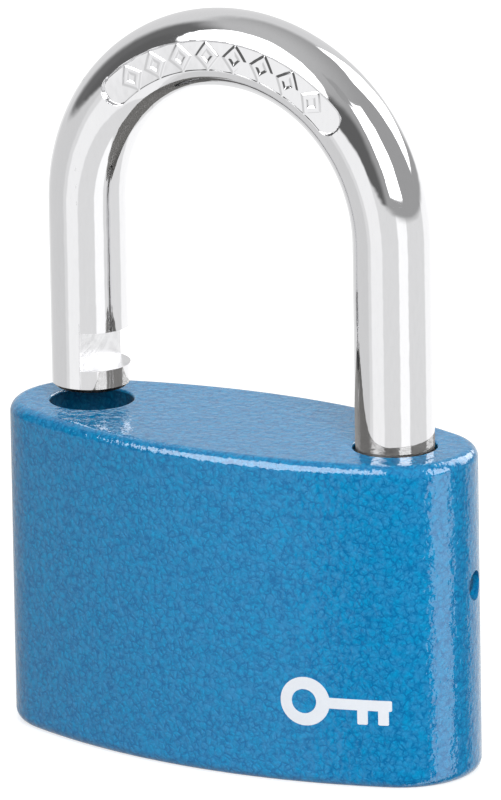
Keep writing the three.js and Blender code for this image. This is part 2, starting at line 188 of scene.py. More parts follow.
def loft(rings, closed=False):
    """A skin over rings of equal length. It is capped at both ends, or joined end to end when closed."""
    count = len(rings[0])
    points = [point for ring in rings for point in ring]
    faces = []
    last = len(rings) if closed else len(rings) - 1
    for r in range(last):
        low = r * count
        high = (r + 1) % len(rings) * count
        for i in range(count):
            j = (i + 1) % count
            faces.append((low + i, low + j, high + j, high + i))
    if not closed:
        faces.append(tuple(range(count))[::-1])
        faces.append(tuple(range(len(points) - count, len(points))))
    return points, faces


def prism(outline, bottom, top):
    return loft([[(x, y, z) for x, y in outline] for z in (bottom, top)])


def block(x0, x1, y0, y1, z0, z1):
    return prism([(x0, y0), (x1, y0), (x1, y1), (x0, y1)], z0, z1)


def turned(profile, sides=64):
    """A turned shape about Z, from (radius, height) points that go up its outside."""
    turns = [2 * math.pi * i / sides for i in range(sides)]
    tiny = 1e-4
    rings = []
    for radius, z in profile:
        reach = max(radius, tiny)
        rings.append([(reach * math.cos(a), reach * math.sin(a), z) for a in turns])
    return loft(rings, closed=profile[0][0] > 0)


def rod(radius, bottom, top, sides=64):
    return turned([(0, bottom), (radius, bottom), (radius, top), (0, top)], sides)


def rounded_outline(x0, x1, y0, y1, radius, steps=8):
    quarter = math.pi / 2
    return [
        *arc(x1 - radius, y1 - radius, radius, 0, quarter, steps), (x1 - radius, y1),
        *arc(x0 + radius, y1 - radius, radius, quarter, 2 * quarter, steps), (x0, y1 - radius),
        *arc(x0 + radius, y0 + radius, radius, 2 * quarter, 3 * quarter, steps), (x0 + radius, y0),
        *arc(x1 - radius, y0 + radius, radius, 3 * quarter, 4 * quarter, steps), (x1, y0 + radius),
    ]


def placed(shape, matrix):
    points, faces = shape
    return [tuple(matrix @ Vector(p)) for p in points], faces


def shifted(shape, x=0, y=0, z=0):
    return placed(shape, Matrix.Translation((x, y, z)))


def along_x(shape):
    """Turns +Z to +X."""
    return placed(shape, Matrix.Rotation(math.radians(90), 4, "Y"))


def along_minus_x(shape):
    """Turns +Z to -X."""
    return placed(shape, Matrix.Rotation(math.radians(-90), 4, "Y"))


def along_y(shape):
    """Turns +Z to +Y."""
    return placed(shape, Matrix.Rotation(math.radians(-90), 4, "X"))


def to_mesh(shape):
    mesh = bpy.data.meshes.new("shape")
    mesh.from_pydata(shape[0], [], shape[1])
    build = bmesh.new()
    build.from_mesh(mesh)
    bmesh.ops.remove_doubles(build, verts=build.verts, dist=1e-3)
    bmesh.ops.recalc_face_normals(build, faces=build.faces)
    build.to_mesh(mesh)
    build.free()
    return mesh


def combined(mesh, shapes, operation):
    """The mesh joined with, cut by or kept inside the shapes, one after another."""
    base = bpy.data.objects.new("base", mesh)
    bpy.context.collection.objects.link(base)
    helpers = []
    for shape in shapes:
        helper = bpy.data.objects.new("helper", to_mesh(shape))
        bpy.context.collection.objects.link(helper)
        helpers.append(helper)
        modifier = base.modifiers.new("boolean", "BOOLEAN")
        modifier.operation = operation
        modifier.solver = "EXACT"
        modifier.object = helper
    depsgraph = bpy.context.evaluated_depsgraph_get()
    result = bpy.data.meshes.new_from_object(base.evaluated_get(depsgraph), depsgraph=depsgraph)
    for item in [base, *helpers]:
        bpy.data.objects.remove(item)
    return result


def cut(mesh, *shapes):
    return combined(mesh, shapes, "DIFFERENCE")


def joined(mesh, *shapes):
    return combined(mesh, shapes, "UNION")


SHARP_ANGLE = math.radians(32)
NORMAL_AGREEMENT = 0.94


def smooth(mesh):
    mesh.shade_smooth()
    mesh.set_sharp_from_angle(angle=SHARP_ANGLE)
    return mesh


def set_normals(mesh, normal_at):
    """Gives each corner the true surface's normal where normal_at knows it and the face agrees with it."""
    smooth(mesh)
    corners = [Vector(n.vector) for n in mesh.corner_normals]
    for face in mesh.polygons:
        for corner in face.loop_indices:
            point = mesh.vertices[mesh.loops[corner].vertex_index].co
            normal = normal_at(point)
            if normal is not None and normal.dot(face.normal) > NORMAL_AGREEMENT:
                corners[corner] = normal
    mesh.normals_split_custom_set(corners)
    return mesh


def add_object(name, mesh, material):
    """Makes an object of a mesh that was drawn in millimetres."""
    mesh.transform(Matrix.Scale(MM, 4))
    mesh.materials.clear()
    mesh.materials.append(material)
    item = bpy.data.objects.new(name, mesh)
    bpy.context.collection.objects.link(item)
    return item


def add_piece(name, mesh, material, node):
    """Makes a piece of the object, which stands for a CAD node and rides on its body."""
    piece = add_object(name, mesh, material)
    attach(piece, BODY_OF[node])
    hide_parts(node)
    return piece


def soften_edges(piece, width):
    """A small even round on the piece's sharp edges."""
    bevel = piece.modifiers.new("edges", "BEVEL")
    bevel.width = width * MM
    bevel.segments = 3
    bevel.limit_method = "ANGLE"
    bevel.angle_limit = math.radians(40)
    bevel.harden_normals = True


# ---- material tools ----

class Graph:
    """A node tree, with short calls that add a node and return its output."""

    def add(self, kind, **settings):
        node = self.tree.nodes.new(kind)
        for key, value in settings.items():
            setattr(node, key, value)
        return node

    def link(self, output, socket):
        self.tree.links.new(output, socket)

    def calculate(self, kind, operation, values):
        """A node that works on outputs and fixed values."""
        node = self.add(kind, operation=operation)
        for value, socket in zip(values, node.inputs):
            if isinstance(value, (int, float, tuple)):
                socket.default_value = value
            else:
                self.link(value, socket)
        return node

    def math(self, operation, *values):
        return self.calculate("ShaderNodeMath", operation, values).outputs[0]

    def vector(self, operation, *values):
        node = self.calculate("ShaderNodeVectorMath", operation, values)
        gives_number = operation in ("LENGTH", "DOT_PRODUCT")
        return node.outputs["Value" if gives_number else "Vector"]

    def ramp(self, value, low, high, to_low=0.0, to_high=1.0):
        """A soft step from to_low, below low, to to_high, above high."""
        step = self.add("ShaderNodeMapRange", interpolation_type="SMOOTHSTEP")
        sockets = ("From Min", "From Max", "To Min", "To Max")
        for socket, number in zip(sockets, (low, high, to_low, to_high)):
            step.inputs[socket].default_value = number
        self.link(value, step.inputs["Value"])
        return step.outputs["Result"]


class Nodes(Graph):
    """A material's nodes. Its patterns are laid out in millimetres."""

    def __init__(self, name):
        self.material = bpy.data.materials.new(name)
        self.material.use_nodes = True
        self.tree = self.material.node_tree
        self.shader = self.tree.nodes["Principled BSDF"]

    def place(self):
        coordinates = self.add("ShaderNodeTexCoord").outputs["Object"]
        return self.vector("MULTIPLY", coordinates, (1 / MM, 1 / MM, 1 / MM))

    def from_parts(self, **parts):
        node = self.add("ShaderNodeCombineXYZ")
        for axis, output in parts.items():
            self.link(output, node.inputs[axis])
        return node.outputs[0]

    def noise(self, place, scale, detail=2.0, roughness=0.5, output="Fac"):
        noise = self.add("ShaderNodeTexNoise")
        noise.inputs["Scale"].default_value = scale
        noise.inputs["Detail"].default_value = detail
        noise.inputs["Roughness"].default_value = roughness
        self.link(place, noise.inputs["Vector"])
        return noise.outputs[output]

    def cell_edges(self, place, scale):
        """0 where random cells meet, growing towards their middles."""
        cells = self.add("ShaderNodeTexVoronoi", feature="DISTANCE_TO_EDGE")
        cells.inputs["Scale"].default_value = scale
        self.link(place, cells.inputs["Vector"])
        return cells.outputs["Distance"]

    def wandering(self, place, scale, amount):
        """The place, pushed about by noise, so that a pattern on it loses its straight lines."""
        centred = self.vector("SUBTRACT", self.noise(place, scale, output="Color"), (0.5, 0.5, 0.5))
        return self.vector("MULTIPLY_ADD", centred, (amount, amount, amount), place)

    def mix(self, share, a, b):
        """A colour between a and b, each a colour or an output."""
        node = self.add("ShaderNodeMix", data_type="RGBA")
        self.link(share, node.inputs["Factor"])
        for value, socket in ((a, node.inputs[6]), (b, node.inputs[7])):
            if isinstance(value, tuple):
                socket.default_value = (*value, 1)
            else:
                self.link(value, socket)
        return node.outputs[2]

    def bump(self, height, distance):
        """A surface relief whose height of 0 to 1 stands for distance millimetres."""
        node = self.add("ShaderNodeBump")
        node.inputs["Distance"].default_value = distance * MM
        node.inputs["Strength"].default_value = 1.0
        self.link(height, node.inputs["Height"])
        return node.outputs["Normal"]

    def set(self, **numbers):
        for key, value in numbers.items():
            self.shader.inputs[key.replace("_", " ")].default_value = value

    def drive(self, socket, output):
        self.link(output, self.shader.inputs[socket])


# ---- materials ----

PAINT_COLOURS = [(0.026, 0.278, 0.570), (0.0, 0.309, 0.616), (0.0, 0.153, 0.382)]  # thin, full, vein
# painted reflection: the paint's colour for glossy rays
MIRRORED_PAINT = (0.225, 0.22, 0.21)  # what the chrome shows of the paint, with hardly any colour


def hammered_paint(name, strength):
    """Blue hammered paint: light cells with darker, broken veins between them, under a wavy gloss."""
    n = Nodes(name)
    place = n.place()
    bent = n.wandering(n.wandering(place, 1.2, 0.7), 3.4, 0.26)
    cells = n.cell_edges(bent, 1.4)
    small_cells = n.cell_edges(bent, 2.7)
    veins = n.ramp(cells, 0.0, 0.23, 1.0, 0.0)
    small_veins = n.ramp(small_cells, 0.0, 0.28, 0.6, 0.0)
    blots = n.ramp(n.noise(place, 1.5, 3.0, 0.6), 0.32, 0.62, 0.3, 1.0)
    veins = n.math("MULTIPLY", n.math("MAXIMUM", veins, small_veins), blots)
    clouds = n.ramp(n.noise(place, 0.9, 4.0, 0.65), 0.35, 0.65)
    thin, full, vein = (tuple(part * strength for part in colour) for colour in PAINT_COLOURS)
    paint = n.mix(veins, n.mix(clouds, thin, full), vein)
    # painted reflection: glossy rays see the paint as near-grey, so the chrome mirrors it without its blue
    mirrored = n.add("ShaderNodeLightPath").outputs["Is Glossy Ray"]
    n.drive("Base Color", n.mix(mirrored, paint, MIRRORED_PAINT))
    n.set(Metallic=0.0, Roughness=0.42, Specular_IOR_Level=0.0)
    n.set(Coat_Weight=0.85, Coat_Roughness=0.0, Coat_IOR=1.5)
    domes = n.ramp(cells, 0.0, 0.4)
    waves = n.noise(place, 1.1, 2.0)
    ripples = n.math("ADD", n.math("MULTIPLY", domes, 0.1), waves)
    n.drive("Coat Normal", n.bump(ripples, 0.09))
    n.drive("Normal", n.bump(domes, 0.04))
    return n.material


def polished_chrome():
    """Mirror chrome, with the faint waves that polishing leaves."""
    n = Nodes("polished_chrome")
    place = n.place()
    haze = n.noise(n.vector("MULTIPLY", place, (1.0, 1.0, 0.25)), 3.0, 4.0)
    n.drive("Roughness", n.ramp(haze, 0.3, 0.75, 0.035, 0.055))
    n.drive("Base Color", n.mix(haze, (0.70, 0.70, 0.71), (0.66, 0.66, 0.67)))
    waves = n.noise(place, 0.35, 2.0)
    n.drive("Normal", n.bump(waves, 0.03))
    n.set(Metallic=1.0)
    return n.material


def milled_chrome():
    """The locking notch: chromed over the fine arcs that the cutter left."""
    n = Nodes("milled_chrome")
    place = n.place()
    reach = n.vector("LENGTH", n.vector("SUBTRACT", place, (-LEG_X + 9, -5, NOTCH_BOTTOM + 9)))
    arcs = n.noise(n.from_parts(X=reach), 5.0, 3.0, 0.6)
    haze = n.noise(place, 1.2, 3.0)
    n.drive("Base Color", n.mix(arcs, (0.76, 0.76, 0.77), (0.6, 0.6, 0.61)))
    n.drive("Roughness", n.ramp(haze, 0.3, 0.7, 0.28, 0.4))
    n.drive("Normal", n.bump(arcs, 0.03))
    n.set(Metallic=1.0)
    return n.material


def ringed_metal(n, place, rings, depth, tarnish_scale, light, dark, roughness):
    """Metal with the fine rings that a lathe leaves, and a little tarnish."""
    tarnish = n.ramp(n.noise(place, tarnish_scale, 4.0, 0.6), 0.35, 0.75)
    shade = n.math("MULTIPLY", n.math("ADD", rings, tarnish), 0.5)
    n.drive("Base Color", n.mix(shade, light, dark))
    n.drive("Roughness", n.ramp(shade, 0.2, 0.8, roughness, roughness + 0.16))
    n.drive("Normal", n.bump(rings, depth))
    n.set(Metallic=1.0)
    return n.material


def turned_metal(name, light, dark, roughness, axis):
    """Metal turned about one of the object's axes."""
    n = Nodes(name)
    place = n.place()
    stretch = {"x": (40, 2, 2), "y": (2, 40, 2), "z": (2, 2, 40)}[axis]
    rings = n.noise(n.vector("MULTIPLY", place, stretch), 1.0, 3.0, 0.6)
    return ringed_metal(n, place, rings, 0.006, 0.5, light, dark, roughness)


def face_ringed_brass():
    """Brass faced on a lathe: rings round the plug's axis on its flat faces, and fine lines elsewhere."""
    n = Nodes("plug_brass")
    place = n.place()
    parts = n.add("ShaderNodeSeparateXYZ")
    n.link(place, parts.inputs[0])
    from_axis = n.vector("LENGTH", n.from_parts(X=parts.outputs["X"], Y=parts.outputs["Y"]))
    rings = n.noise(n.from_parts(X=from_axis, Y=parts.outputs["Z"]), 9.0, 3.0, 0.65)
    return ringed_metal(n, place, rings, 0.012, 0.45, (0.82, 0.60, 0.26), (0.60, 0.40, 0.15), 0.2)


def print_white():
    """White printing ink, a little uneven."""
    n = Nodes("print_white")
    place = n.place()
    grain = n.noise(place, 5.0, 3.0)
    n.drive("Base Color", n.mix(grain, (0.86, 0.88, 0.92), (0.78, 0.82, 0.88)))
    n.drive("Roughness", n.ramp(grain, 0.3, 0.7, 0.3, 0.45))
    n.drive("Normal", n.bump(n.noise(place, 0.9, 2.0), 0.03))
    return n.material


PAINT = hammered_paint("hammered_paint", 1.0)
# a darker copy of the paint: painted shade for the walls of the bores and for the keeper pin's end
BORE_SHADE_PAINT = hammered_paint("bore_painted_shade", 0.45)
CHROME = polished_chrome()
MILLED_CHROME = milled_chrome()
BRASS = turned_metal("turned_brass", (0.78, 0.57, 0.25), (0.55, 0.36, 0.13), 0.24, "x")
SHELL_BRASS = turned_metal("shell_brass", (0.76, 0.55, 0.24), (0.54, 0.36, 0.14), 0.26, "z")
PLUG_BRASS = face_ringed_brass()
STEEL = turned_metal("bright_steel", (0.62, 0.63, 0.65), (0.42, 0.43, 0.45), 0.22, "x")
PLATE_STEEL = turned_metal("plate_steel", (0.58, 0.59, 0.61), (0.38, 0.39, 0.41), 0.28, "y")
SPRING_STEEL = turned_metal("spring_steel", (0.48, 0.49, 0.52), (0.28, 0.29, 0.31), 0.25, "z")
INK = print_white()


# ---- body ----

END_X = BODY_WIDTH / 2 - BODY_END_RADIUS
ARC_RISE = BODY_DEPTH / 2 - BODY_END_RADIUS
ARC_CENTRE = (END_X**2 - ARC_RISE**2) / (2 * ARC_RISE)
ARC_RADIUS = BODY_DEPTH / 2 + ARC_CENTRE
ARC_HALF = math.atan2(END_X, ARC_CENTRE)


def body_outline(inset=0.0):
    """The body seen from above: two long arcs that run tangent into two round ends."""
    quarter = math.pi / 2
    long_steps = 90
    end_steps = 60
    long = ARC_RADIUS - inset
    end = BODY_END_RADIUS - inset
    return [
        *arc(0, -ARC_CENTRE, long, quarter - ARC_HALF, quarter + ARC_HALF, long_steps),
        *arc(-END_X, 0, end, quarter + ARC_HALF, 3 * quarter - ARC_HALF, end_steps),
        *arc(0, ARC_CENTRE, long, 3 * quarter - ARC_HALF, 3 * quarter + ARC_HALF, long_steps),
        *arc(END_X, 0, end, -quarter + ARC_HALF, quarter - ARC_HALF, end_steps),
    ]


def body_side_normal(x, y):
    """Straight out of the body's outline at a point near it."""
    side = -1 if y < 0 else 1
    beyond = abs(x) - END_X
    if beyond > 0 and math.atan2(beyond, abs(y)) > ARC_HALF:
        return Vector((math.copysign(beyond, x), y, 0)).normalized()
    return Vector((x, y + side * ARC_CENTRE, 0)).normalized()


def body_normal(point):
    """The true normal of the body's outer skin."""
    flat_z = 1 if point.z > BODY_HEIGHT / 2 else -1
    beyond = flat_z * (point.z - BODY_HEIGHT / 2) - (BODY_HEIGHT / 2 - BODY_EDGE_ROUND)
    if beyond > BODY_EDGE_ROUND - 1e-3:
        return Vector((0, 0, flat_z))
    side = body_side_normal(point.x, point.y)
    if beyond <= 0:
        return side
    lean = math.asin(min(1, beyond / BODY_EDGE_ROUND))
    return side * math.cos(lean) + Vector((0, 0, flat_z * math.sin(lean)))


def body_block():
    steps = 10
    rings = []
    for i in range(steps + 1):
        lean = math.pi / 2 * (1 - i / steps)
        inset = BODY_EDGE_ROUND * (1 - math.cos(lean))
        rings.append((inset, BODY_EDGE_ROUND * (1 - math.sin(lean))))
    rings += [(inset, BODY_HEIGHT - z) for inset, z in reversed(rings)]
    return loft([[(x, y, z) for x, y in body_outline(inset)] for inset, z in rings])


def bore_from_top(radius, floor):
    """A bore whose mouth opens in a soft round. It stops at a flat floor."""
    steps = 8
    mouth = arc(radius + BORE_MOUTH_ROUND, BODY_HEIGHT - BORE_MOUTH_ROUND, BORE_MOUTH_ROUND,
                math.pi, math.pi / 2, steps)
    wide = radius + BORE_MOUTH_ROUND
    profile = [(0, floor), (radius, floor), *mouth, (wide, BODY_HEIGHT), (wide, BODY_HEIGHT + 1)]
    return turned([*profile, (0, BODY_HEIGHT + 1)], 96)


def lock_body():
    housing_side = HOUSING_HALF_WIDTH + HOUSING_GAP
    housing_end = SHELL_LOW.x - HOUSING_GAP
    housing = rounded_outline(housing_end, 0, -housing_side, housing_side, 1)
    channel_side = 2.75
    play = 0.1
    mesh = cut(
        to_mesh(body_block()),
        shifted(bore_from_top(LEG_BORE_RADIUS, TOE_BORE_FLOOR), -LEG_X),
        shifted(bore_from_top(LEG_BORE_RADIUS, HEEL_BORE_FLOOR), LEG_X),
        shifted(rod(SPRING_BORE_RADIUS, SPRING_POCKET_FLOOR, HEEL_BORE_FLOOR + 1), LEG_X),
        rod(CYLINDER_BORE_RADIUS, -1, CYLINDER_BORE_TOP, 96),
        prism(housing, -1, SHELL_HIGH.z + HOUSING_GAP),
        block(-LEG_X, -6, -channel_side, channel_side, LATCH_LOW.z - 0.2, CYLINDER_BORE_TOP),
        shifted(along_x(rod(LATCH_SPRING_HOLE_RADIUS, 6, LATCH_SPRING_HOLE_END, 40)), z=LATCH_SPRING_Z),
        shifted(along_x(rod(KEEPER_RADIUS + play, LEG_X, BODY_WIDTH, 48)), y=KEEPER_Y, z=KEEPER_PIN_Z),
        shifted(along_y(rod(CROSS_RADIUS + play, CROSS_LOW.y - 0.3, BODY_DEPTH, 40)),
                CROSS_PIN_X, 0, CROSS_PIN_Z),
    )
    return set_normals(mesh, body_normal)


def painted_body():
    """The body, with the paint darkened on the walls of its bores as painted shade."""
    mesh = lock_body()
    add_piece("painted_body", mesh, PAINT, "lock_body")
    # painted shade: the bore walls take the darker copy of the paint
    mesh.materials.append(BORE_SHADE_PAINT)
    for face in mesh.polygons:
        place = face.center / MM
        from_axis = math.hypot(abs(place.x) - LEG_X, place.y)
        if from_axis < LEG_BORE_RADIUS + 0.01 and 1 < place.z < BODY_HEIGHT - BORE_MOUTH_ROUND:
            face.material_index = 1


painted_body()


# ---- shackle ----

def spread_angles(fine_from, fine_to, fine_step, coarse_step):
    """Angles round a circle, close together between fine_from and fine_to."""
    fine = max(1, round((fine_to - fine_from) / fine_step))
    rest = 2 * math.pi - (fine_to - fine_from)
    coarse = max(1, round(rest / coarse_step))
    angles = [fine_from + (fine_to - fine_from) * i / fine for i in range(fine)]
    return angles + [fine_to + rest * i / coarse for i in range(coarse)]


def slab_distance(along, across, half_along, half_across, corner):
    """Signed distance to a rectangle with round corners, below 0 inside."""
    dx = abs(along) - half_along + corner
    dy = abs(across) - half_across + corner
    outside = math.hypot(max(dx, 0), max(dy, 0))
    return outside + min(max(dx, dy), 0) - corner


def lozenge_distance(along, across, half_along, half_across):
    """Signed distance to a lozenge's straight sides, below 0 inside."""
    steepness = math.hypot(1 / half_along, 1 / half_across)
    return (abs(along) / half_along + abs(across) / half_across - 1) / steepness


def soft_min(a, b, width):
    """The smaller of two numbers, with the corner between them rounded where they are within width."""
    near = max(width - abs(a - b), 0) / width
    return min(a, b) - near * near * width / 4


def soft_step(value):
    value = min(1, max(0, value))
    return value * value * (3 - 2 * value)


LOZENGE_TURNS = [
    PANEL_START + LOZENGE_MARGIN + (PANEL_END - PANEL_START - 2 * LOZENGE_MARGIN) * i / (LOZENGES - 1)
    for i in range(LOZENGES)
]


def panel_place(x, z):
    """A point's turn along the panel's arc and its distance outward from the middle of the panel."""
    turn = math.atan2(x - PANEL_SHIFT, z - CROWN_Z)
    return turn, math.hypot(x - PANEL_SHIFT, z - CROWN_Z) - LEG_X


def front_depth(x, z):
    """How far the bar's front stands before its middle plane on the bend.

    The sunk panel's floor runs out flush on the inner side of the bend, with raised lozenges on it.
    """
    round_depth = math.sqrt(max(0, BAR_RADIUS**2 - (math.hypot(x, z - CROWN_Z) - LEG_X)**2))
    turn, across = panel_place(x, z)
    middle = (PANEL_START + PANEL_END) / 2
    half = (PANEL_END - PANEL_START) / 2 * LEG_X + PANEL_HALF_WIDTH
    panel = slab_distance((turn - middle) * LEG_X, across, half, PANEL_HALF_WIDTH, PANEL_HALF_WIDTH)
    if panel > 0:
        return round_depth
    nearest = min(LOZENGE_TURNS, key=lambda lozenge: abs(lozenge - turn))
    outline = lozenge_distance((turn - nearest) * LEG_X, across, LOZENGE_HALF_LENGTH, LOZENGE_HALF_HEIGHT)
    line = max(outline, -outline - LOZENGE_LINE)
    relief = LOZENGE_HEIGHT * soft_step(0.5 - line / LOZENGE_WALL)
    inner_edge = PANEL_SHIFT * math.sin(turn) - PANEL_HALF_WIDTH
    inner_depth = math.sqrt(BAR_RADIUS**2 - inner_edge**2)
    slope = (inner_depth - PANEL_FLOOR) / (2 * PANEL_HALF_WIDTH)
    floor = PANEL_FLOOR + slope * (PANEL_HALF_WIDTH - across) + relief
    sunk = soft_min(round_depth, floor, PANEL_BLEND)
    return round_depth + (sunk - round_depth) * soft_step(-panel / PANEL_WALL)


def on_panel(x, y, z):
    """Whether a point of the shackle lies on the bend's front, where the panel may be."""
    turn, across = panel_place(x, z)
    margin = PANEL_HALF_WIDTH / LEG_X
    in_turn = PANEL_START - margin < turn < PANEL_END + margin
    return y < 0 and z > CROWN_Z and in_turn and abs(across) < PANEL_HALF_WIDTH


def shackle_normal(point):
    """The true normal of the shackle's bar, with the relief in its panel."""
    x, y, z = point
    if on_panel(x, y, z):
        reach = 0.02
        slope_x = (front_depth(x + reach, z) - front_depth(x - reach, z)) / (2 * reach)
        slope_z = (front_depth(x, z + reach) - front_depth(x, z - reach)) / (2 * reach)
        return Vector((-slope_x, -1, -slope_z)).normalized()
    if z > CROWN_Z:
        centre = Vector((x, 0, z - CROWN_Z)).normalized() * LEG_X + Vector((0, 0, CROWN_Z))
    else:
        centre = Vector((math.copysign(LEG_X, x), 0, z))
    offset = Vector(point) - centre
    if abs(offset.length - BAR_RADIUS) > 0.01:
        return None
    return offset.normalized()


def ring_round(centre, outward, radius, angles, sunk=False):
    """A ring of the bar. Angle 0 points to the front, and a quarter turn to the outside of the bend."""
    points = []
    for angle in angles:
        offset = outward * math.sin(angle) + Vector((0, -1, 0)) * math.cos(angle)
        point = centre + offset * radius
        if sunk and on_panel(point.x, point.y, point.z):
            point.y = -front_depth(point.x, point.z)
        points.append(tuple(point))
    return points


def bend_turns():
    """Turns along the bend from the toe leg (-90 degrees) to the heel leg, close together on the panel."""
    margin = math.radians(6)
    first = PANEL_START - margin
    last = PANEL_END + margin
    quarter = math.pi / 2
    coarse = math.radians(1.5)
    fine = PANEL_STEP / LEG_X
    before = round((first + quarter) / coarse)
    inside = round((last - first) / fine)
    after = round((quarter - last) / coarse)
    turns = [-quarter + (first + quarter) * i / before for i in range(before)]
    turns += [first + (last - first) * i / inside for i in range(inside)]
    return turns + [last + (quarter - last) * i / after for i in range(after + 1)]


def shackle_bar():
    panel_edge = math.asin((PANEL_HALF_WIDTH + PANEL_SHIFT) / BAR_RADIUS)
    angles = spread_angles(-panel_edge - 0.02, panel_edge + 0.02, PANEL_STEP / BAR_RADIUS, math.radians(4))
    out = Vector((1, 0, 0))
    toe = [(TOE_TIP_Z, 0.001), (TOE_TIP_Z, BAR_RADIUS - TOE_CHAMFER),
           (TOE_TIP_Z + TOE_CHAMFER, BAR_RADIUS), (NOTCH_TOP + 1, BAR_RADIUS)]
    heel = [(NECK_TOP + 1, BAR_RADIUS), (NECK_TOP, BAR_RADIUS), (NECK_TOP, NECK_RADIUS),
            (NECK_BOTTOM, NECK_RADIUS), (NECK_BOTTOM, BAR_RADIUS),
            (HEEL_BOTTOM + HEEL_CHAMFER, BAR_RADIUS), (HEEL_BOTTOM, BAR_RADIUS - HEEL_CHAMFER),
            (HEEL_BOTTOM, SPRING_BORE_RADIUS), (SPRING_BORE_TOP, SPRING_BORE_RADIUS),
            (SPRING_BORE_TOP, 0.001)]
    rings = [ring_round(Vector((-LEG_X, 0, z)), -out, radius, angles) for z, radius in toe]
    for turn in bend_turns():
        outward = Vector((math.sin(turn), 0, math.cos(turn)))
        centre = outward * LEG_X + Vector((0, 0, CROWN_Z))
        rings.append(ring_round(centre, outward, BAR_RADIUS, angles, sunk=True))
    rings += [ring_round(Vector((LEG_X, 0, z)), out, radius, angles) for z, radius in heel]
    return loft(rings)


def shackle():
    reach = BAR_RADIUS + 1
    notch = block(NOTCH_FLOOR_X, -LEG_X + reach, -reach, reach, NOTCH_BOTTOM, NOTCH_TOP)
    mesh = set_normals(cut(to_mesh(shackle_bar()), notch), shackle_normal)
    add_piece("chromed_shackle", mesh, CHROME, "shackle")
    mesh.materials.append(MILLED_CHROME)
    for face in mesh.polygons:
        place = face.center / MM
        on_wall = abs(place.x - NOTCH_FLOOR_X) < 0.01
        on_ledge = abs(place.z - NOTCH_BOTTOM) < 0.01 or abs(place.z - NOTCH_TOP) < 0.01
        if place.x < 0 and (on_wall or on_ledge):
            face.material_index = 1


shackle()


# ---- springs ----

def coil(mean_radius, wire_radius, length, turns, sides=10, steps=26):
    """A round-wire spring from height 0 up, with its end turns closed up as on a real spring."""
    wire_pitch = 2.15 * wire_radius
    rise = length - 2 * wire_radius
    open_pitch = (rise - 2 * wire_pitch) / (turns - 2)
    rings = []
    for i in range(turns * steps + 1):
        turn = i / steps
        low_part = min(turn, 1) * wire_pitch
        open_part = min(max(turn - 1, 0), turns - 2) * open_pitch
        high_part = max(turn - turns + 1, 0) * wire_pitch
        height = wire_radius + low_part + open_part + high_part
        angle = 2 * math.pi * turn
        out = Vector((math.cos(angle), math.sin(angle), 0))
        centre = out * mean_radius + Vector((0, 0, height))
        ring = [2 * math.pi * s / sides for s in range(sides)]
        rings.append([
            tuple(centre + out * wire_radius * math.cos(a) + Vector((0, 0, wire_radius * math.sin(a))))
            for a in ring
        ])
    return loft(rings)


def add_spring(name, shape, node):
    return add_piece(name, smooth(to_mesh(shape)), SPRING_STEEL, node)


def lift_spring():
    low, high = box_mm("shackle_spring")
    length = high.z - low.z
    shape = shifted(coil(1.6, 0.22, length, 15), LEG_X, 0, low.z)
    piece = add_spring("lift_spring_coil", shape, "shackle_spring")
    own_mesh(piece)


def chamber_springs():
    for i, height in zip(PIN_NUMBERS, PIN_HEIGHTS):
        low, high = box_mm(f"pin_spring_{i}")
        length = high.x - low.x
        shape = shifted(along_minus_x(coil(0.95, 0.17, length, 5)), high.x, 0, height)
        piece = add_spring(f"chamber_spring_{i}", shape, f"pin_spring_{i}")
        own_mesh(piece)


def latch_return_spring():
    low, high = box_mm("latch_spring")
    shape = shifted(along_x(coil(1.6, 0.2, high.x - low.x, 7)), low.x, 0, LATCH_SPRING_Z)
    piece = add_spring("latch_spring_coil", shape, "latch_spring")
    piece.parent = None
    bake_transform(piece)


lift_spring()
chamber_springs()
latch_return_spring()


# ---- turned pieces ----

def spring_button():
    top = BUTTON_HIGH.z
    profile = [(0, BUTTON_LOW.z), (0.85, BUTTON_LOW.z), (1, BUTTON_LOW.z + 0.15), (1, top - 1.2),
               (1.95, top - 1.2), (1.95, top - 0.2), (1.75, top), (0, top)]
    piece = add_piece("lift_button", smooth(to_mesh(shifted(turned(profile), LEG_X))), STEEL,
                      "spring_button")
    soften_edges(piece, 0.05)


def keeper_pin():
    radius = KEEPER_RADIUS
    chamfer = 0.3
    profile = [(0, KEEPER_LOW.x), (radius, KEEPER_LOW.x), (radius, KEEPER_HIGH.x - chamfer),
               (radius - chamfer, KEEPER_HIGH.x), (0, KEEPER_HIGH.x)]
    mesh = smooth(to_mesh(shifted(along_x(turned(profile)), y=KEEPER_Y, z=KEEPER_PIN_Z)))
    piece = add_piece("shackle_keeper", mesh, STEEL, "shackle_keeper_pin")
    # painted shade: the pin's outer end takes the darker copy of the paint, for the shade in its hole
    mesh.materials.append(BORE_SHADE_PAINT)  # its outer end is painted over with the body
    for face in mesh.polygons:
        if face.center.x / MM > KEEPER_HIGH.x - chamfer - 0.01:
            face.material_index = 1
    soften_edges(piece, 0.06)


def cross_pin():
    pin = along_y(rod(CROSS_RADIUS, CROSS_LOW.y, CROSS_HIGH.y))
    mesh = smooth(to_mesh(shifted(pin, CROSS_PIN_X, 0, CROSS_PIN_Z)))
    soften_edges(add_piece("cylinder_retainer", mesh, STEEL, "cylinder_cross_pin"), 0.15)


def driver_pins():
    profile = [(0, DRIVER_INNER), (0.8, DRIVER_INNER), (PIN_RADIUS, DRIVER_INNER + 0.4),
               (PIN_RADIUS, DRIVER_OUTER), (0, DRIVER_OUTER)]
    for i, height in zip(PIN_NUMBERS, PIN_HEIGHTS):
        mesh = smooth(to_mesh(shifted(along_minus_x(turned(profile, 40)), z=height)))
        piece = add_piece(f"driver_{i}", mesh, BRASS, f"driver_pin_{i}")
        soften_edges(piece, 0.06)


